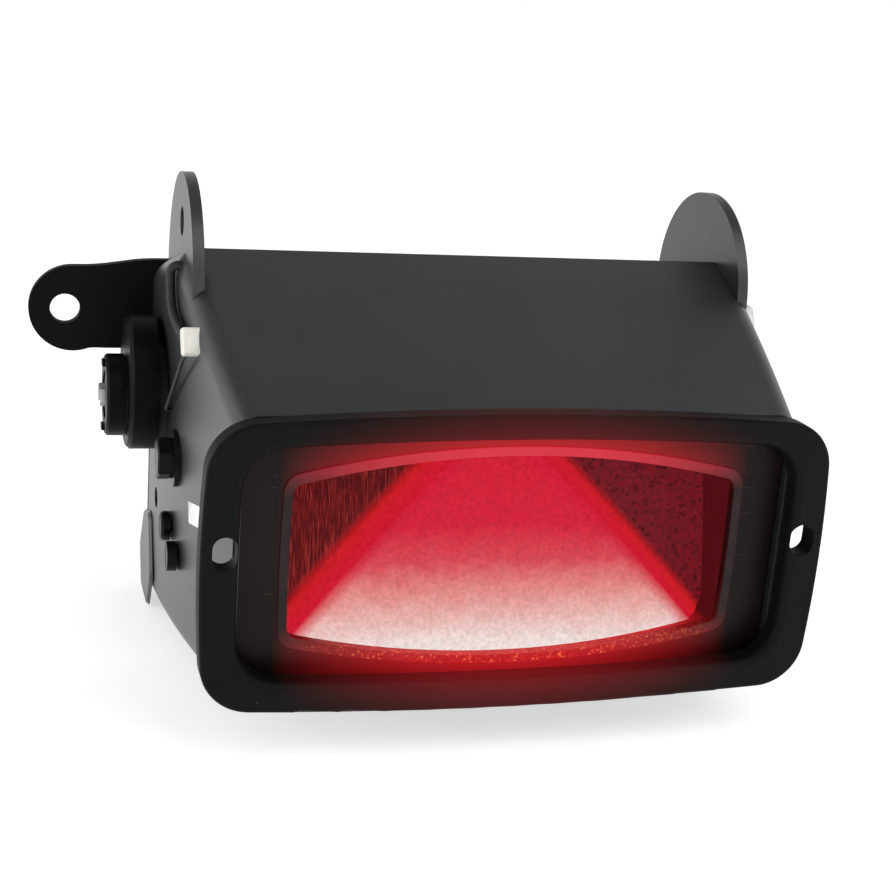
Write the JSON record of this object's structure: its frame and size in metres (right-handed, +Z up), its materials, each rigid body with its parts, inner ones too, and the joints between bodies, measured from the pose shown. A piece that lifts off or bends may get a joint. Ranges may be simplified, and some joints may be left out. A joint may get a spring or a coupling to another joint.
{
  "type": "high-mount brake lamp",
  "caption": "Sheet-metal high-mount brake lamp: bowed rectangular red lens behind a slotted flange, rear lug, two roof ears and a side-entry bulb holder that pulls out.",
  "frame": {"origin": "middle of the line between the two mounting slots, on the front face of the flange", "axes": "+X to the right seen from the front, +Y from the lens to the rear plate, +Z up"},
  "size_m": [0.2, 0.1253, 0.1318],
  "materials": {
    "black_steel": "satin black paint on folded sheet steel",
    "black_flange": "satin black paint on a cast flange",
    "dark_plastic": "semi-gloss brown-black moulding",
    "red_lens": "clear red acrylic, polished front",
    "seal_rubber": "translucent grey silicone",
    "red_reflector": "red moulding with a fine speckled grain",
    "bright_bowl": "brightened aluminium sheet",
    "holder_black": "satin black paint with worn edges",
    "insulator": "moulded phenolic, dull",
    "black_rubber": "black moulded rubber",
    "plated_steel": "bright zinc plate",
    "black_screw": "black oxide",
    "brass": "nickel-dulled brass",
    "clear_glass": "clear blown glass",
    "tungsten": "dull drawn wire",
    "ivory_plastic": "ivory nylon",
    "white_label": "blank white film"
  },
  "bodies": {
    "housing": {"front_flange": "black_flange", "housing_shell": "black_steel", "lens_surround": "dark_plastic", "lens_seal": "seal_rubber", "lens": "red_lens", "horn_reflector": "red_reflector", "reflector_screws": "plated_steel", "frame_tabs": "black_steel", "frame_screws": "plated_steel", "rear_plate": "black_steel", "rear_tabs": "black_steel", "rear_screws": "black_screw", "left_ear": "black_steel", "right_ear": "black_steel", "left_foot": "black_steel", "right_foot": "black_steel", "holder_boss": "holder_black", "boss_seal": "black_rubber", "boss_nut": "plated_steel", "lamp_bowl": "bright_bowl", "bowl_bracket": "black_steel", "bracket_screws": "black_screw", "flat_washer": "black_screw", "spring_washer": "plated_steel", "hex_bolt": "black_screw", "hex_nut": "plated_steel", "side_screws": "plated_steel", "right_washer": "black_screw", "right_bolt": "plated_steel", "right_nut": "plated_steel", "lead_sleeve": "black_rubber", "lead_wire": "black_rubber", "lead_clip": "ivory_plastic", "lead_grommet": "black_rubber", "side_label": "white_label"},
    "bulb_carrier": {"socket_body": "insulator", "socket_sleeve": "brass", "terminal_blades": "brass", "socket_seal": "black_rubber", "contact_spring": "plated_steel"},
    "cap": {"locking_cap": "holder_black"},
    "bulb": {"bulb_base": "brass", "base_contact": "tungsten", "bulb_glass": "clear_glass", "filament_posts": "tungsten", "filament": "tungsten"},
    "contact": {"contact_plunger": "brass"}
  },
  "joints": [
    {"name": "holder_pull", "type": "slide", "parent": "housing", "child": "bulb_carrier", "axis": [-1, 0, 0], "range_m": [0, 0.085]},
    {"name": "cap_twist", "type": "hinge", "parent": "bulb_carrier", "child": "cap", "pos_m": [-0.092, 0.0916, 0.0135], "axis": [1, 0, 0], "range_deg": [0, 45]},
    {"name": "bulb_turn", "type": "hinge", "parent": "bulb_carrier", "child": "bulb", "pos_m": [-0.05, 0.0916, 0.0135], "axis": [1, 0, 0], "range_deg": [0, 20]},
    {"name": "contact_press", "type": "slide", "parent": "bulb_carrier", "child": "contact", "axis": [-1, 0, 0], "range_m": [0, 0.0015], "stiffness_N_per_m": 1500, "deforming": ["contact_spring"]}
  ]
}
